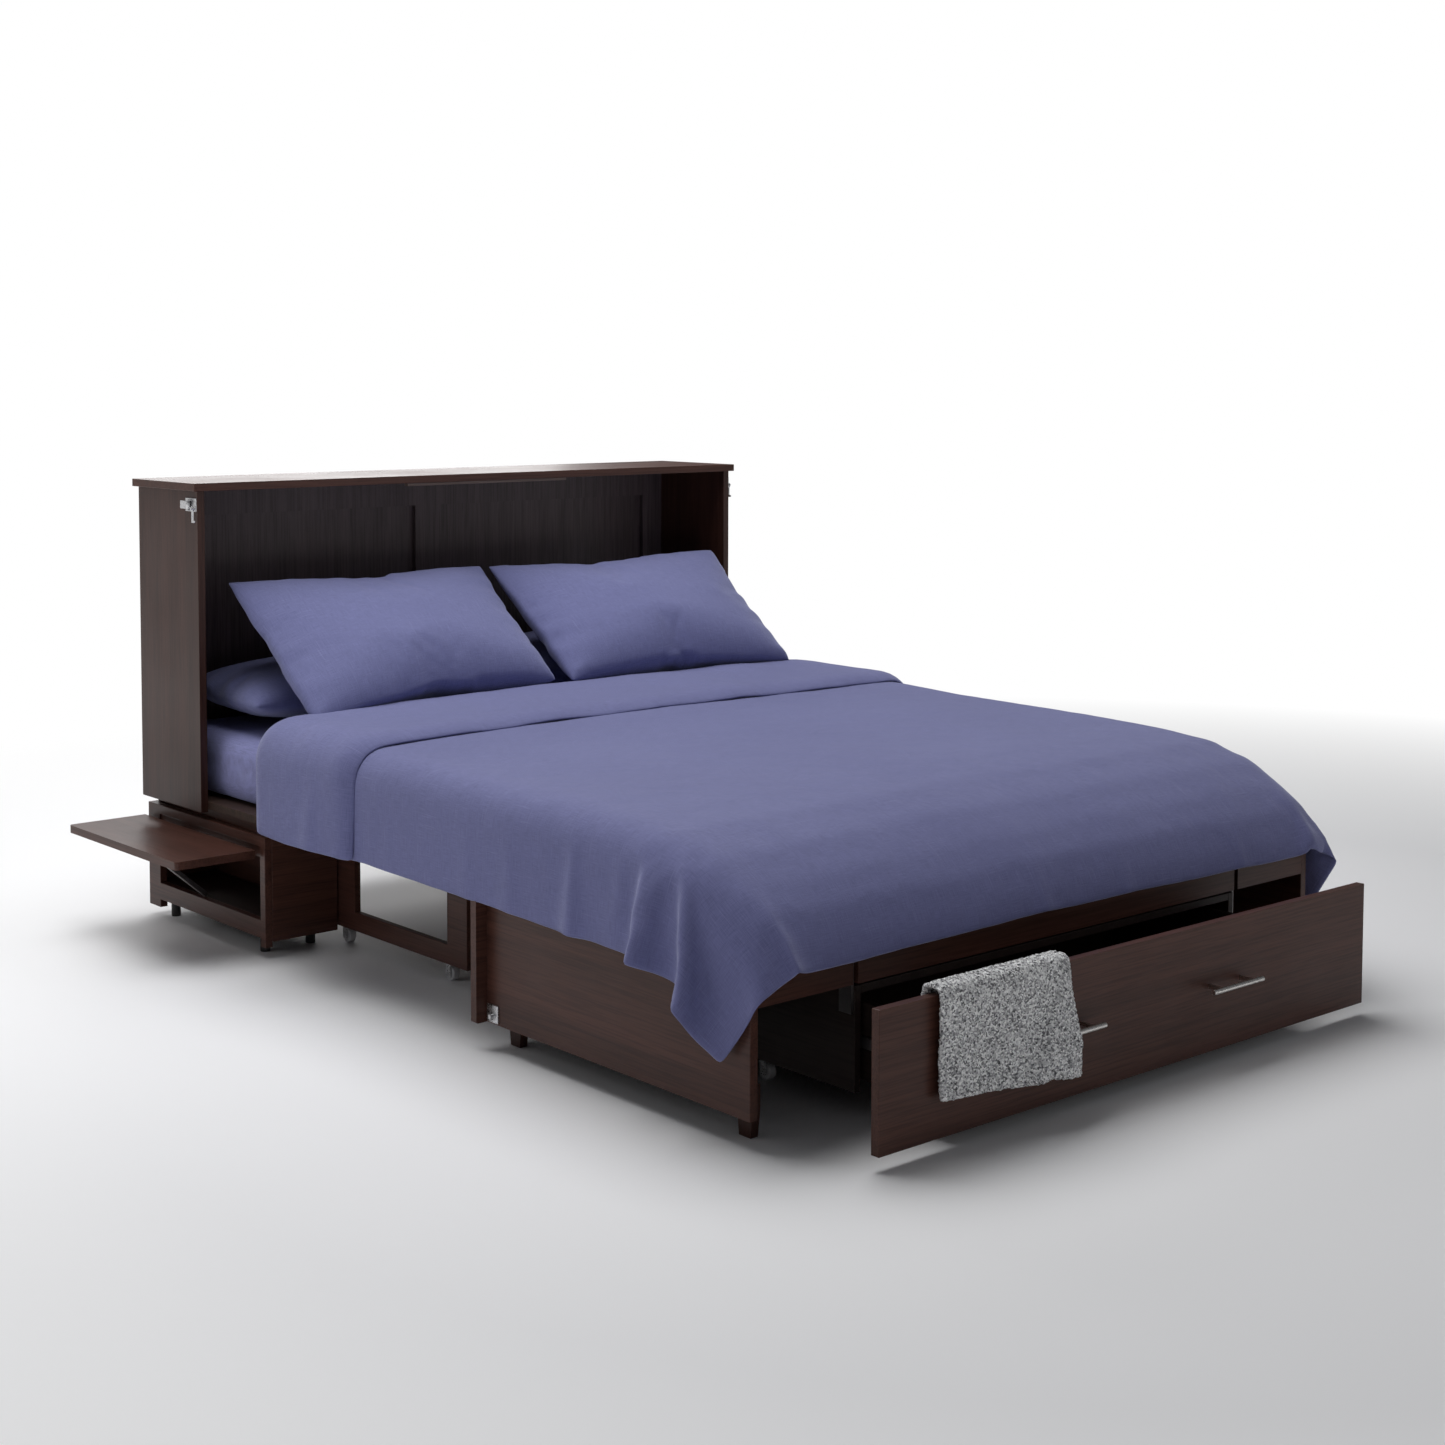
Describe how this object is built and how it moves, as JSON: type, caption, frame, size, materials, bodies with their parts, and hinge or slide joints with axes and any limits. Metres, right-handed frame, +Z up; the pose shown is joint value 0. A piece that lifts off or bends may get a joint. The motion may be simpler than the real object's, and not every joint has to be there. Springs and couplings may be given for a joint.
{
  "type": "murphy cabinet bed",
  "caption": "Cabinet bed opened out: headboard half with side pods and flip-up shelves, telescoping deck, hinged foot section on a rolling drawer base, made up with bedding.",
  "frame": {"origin": "middle of the open bed's footprint, on the floor", "axes": "+X to the right seen from the foot, +Y towards the head, +Z up"},
  "size_m": [1.994, 2.422, 1.05],
  "materials": {
    "espresso_wood": "satin lacquer",
    "wood_top": "satin lacquer",
    "back_wood": "satin",
    "carcass_wood": "matt",
    "deck_board": "matt",
    "brushed_nickel": "brushed",
    "steel": "plated",
    "brace_metal": "satin",
    "caster_wheel": "smooth",
    "foot_plastic": "matt",
    "sheet_fabric": "woven cotton",
    "pillow_fabric": "woven cotton",
    "comforter_fabric": "woven cotton",
    "throw_fabric": "looped knit"
  },
  "bodies": {
    "cabinet": {"top_board": "wood_top", "side_panel_left": "espresso_wood", "side_panel_right": "espresso_wood", "back_panel": "back_wood", "back_frame": "back_wood", "finger_pull": "espresso_wood", "head_deck": "deck_board", "deck_side_boards": "espresso_wood", "pod_frame_left": "espresso_wood", "pod_frame_right": "espresso_wood", "pod_front_panels": "espresso_wood", "pod_rear_panels": "espresso_wood", "pod_inner_panels": "espresso_wood", "pod_floors": "carcass_wood", "pod_feet": "foot_plastic", "latch_plates": "steel", "shelf_hinges": "brace_metal", "mattress": "sheet_fabric", "fitted_sheet": "sheet_fabric", "pillow_rear_left": "pillow_fabric", "pillow_rear_right": "pillow_fabric", "pillow_front_left": "pillow_fabric", "pillow_front_right": "pillow_fabric", "comforter": "comforter_fabric"},
    "shelf_left": {"shelf_left": "espresso_wood", "brace_left": "brace_metal"},
    "shelf_right": {"shelf_right": "espresso_wood", "brace_right": "brace_metal"},
    "latch_lever_left": {"latch_lever_left": "steel"},
    "latch_lever_right": {"latch_lever_right": "steel"},
    "latch_hook_left": {"latch_hook_left": "steel"},
    "latch_hook_right": {"latch_hook_right": "steel"},
    "mid_section": {"mid_frame_left": "espresso_wood", "mid_frame_right": "espresso_wood", "mid_deck": "deck_board", "mid_caster_forks": "steel"},
    "mid_wheels_front": {"mid_wheels_front": "caster_wheel"},
    "mid_wheels_rear": {"mid_wheels_rear": "caster_wheel"},
    "base": {"base_sides": "carcass_wood", "base_cross_rails": "carcass_wood", "base_caster_forks": "steel", "runner_outers": "brace_metal", "lid_pivots": "brace_metal"},
    "base_wheels_front": {"base_wheels_front": "caster_wheel"},
    "base_wheels_rear": {"base_wheels_rear": "caster_wheel"},
    "lid": {"lid_deck": "espresso_wood", "lid_side_left": "espresso_wood", "lid_side_right": "espresso_wood", "lid_end_board": "espresso_wood", "foot_rail": "espresso_wood", "lid_legs": "espresso_wood", "latch_catches": "steel"},
    "drawer": {"drawer_front": "espresso_wood", "drawer_sides": "carcass_wood", "drawer_back": "carcass_wood", "drawer_bottom": "carcass_wood", "runner_inners": "brace_metal", "handle_left": "brushed_nickel", "handle_right": "brushed_nickel", "throw": "throw_fabric"}
  },
  "joints": [
    {"name": "base_slide", "type": "slide", "parent": "cabinet", "child": "base", "axis": [0, 1, 0], "range_m": [0, 1.29], "deforming": ["mattress", "fitted_sheet", "comforter"]},
    {"name": "lid_hinge", "type": "hinge", "parent": "base", "child": "lid", "pos_m": [0, -0.942, 0.29], "axis": [1, 0, 0], "range_deg": [0, 90]},
    {"name": "mid_slide", "type": "slide", "parent": "cabinet", "child": "mid_section", "axis": [0, 1, 0], "range_m": [0, 0.5]},
    {"name": "drawer_slide", "type": "slide", "parent": "base", "child": "drawer", "axis": [0, 1, 0], "range_m": [-0.2, 0.184], "deforming": ["throw"]},
    {"name": "shelf_fold_left", "type": "hinge", "parent": "cabinet", "child": "shelf_left", "pos_m": [-0.798, 0.903, 0.225], "axis": [0, -1, 0], "range_deg": [0, 90]},
    {"name": "latch_lever_turn_left", "type": "hinge", "parent": "cabinet", "child": "latch_lever_left", "pos_m": [-0.816, 0.941, 1], "axis": [0, 0, 1], "range_deg": [0, 110]},
    {"name": "latch_hook_swing_left", "type": "hinge", "parent": "cabinet", "child": "latch_hook_left", "pos_m": [-0.816, 0.921, 0.992], "axis": [-1, 0, 0], "range_deg": [0, 90]},
    {"name": "shelf_fold_right", "type": "hinge", "parent": "cabinet", "child": "shelf_right", "pos_m": [0.798, 0.903, 0.225], "axis": [0, 1, 0], "range_deg": [0, 90]},
    {"name": "latch_lever_turn_right", "type": "hinge", "parent": "cabinet", "child": "latch_lever_right", "pos_m": [0.816, 0.941, 1], "axis": [0, 0, -1], "range_deg": [0, 110]},
    {"name": "latch_hook_swing_right", "type": "hinge", "parent": "cabinet", "child": "latch_hook_right", "pos_m": [0.816, 0.921, 0.992], "axis": [-1, 0, 0], "range_deg": [0, 90]},
    {"name": "mid_wheels_front_spin", "type": "hinge", "parent": "mid_section", "child": "mid_wheels_front", "pos_m": [0, 0.248, 0.016], "axis": [1, 0, 0], "continuous": true},
    {"name": "mid_wheels_rear_spin", "type": "hinge", "parent": "mid_section", "child": "mid_wheels_rear", "pos_m": [0, 0.663, 0.016], "axis": [1, 0, 0], "continuous": true},
    {"name": "base_wheels_front_spin", "type": "hinge", "parent": "base", "child": "base_wheels_front", "pos_m": [0, -0.684, 0.016], "axis": [1, 0, 0], "continuous": true},
    {"name": "base_wheels_rear_spin", "type": "hinge", "parent": "base", "child": "base_wheels_rear", "pos_m": [0, -0.472, 0.016], "axis": [1, 0, 0], "continuous": true}
  ],
  "couplings": [
    {"joint": "lid_hinge", "follows": "base_slide", "rad_per_m": 1.2177},
    {"joint": "mid_slide", "follows": "base_slide", "ratio": 0.38759}
  ]
}
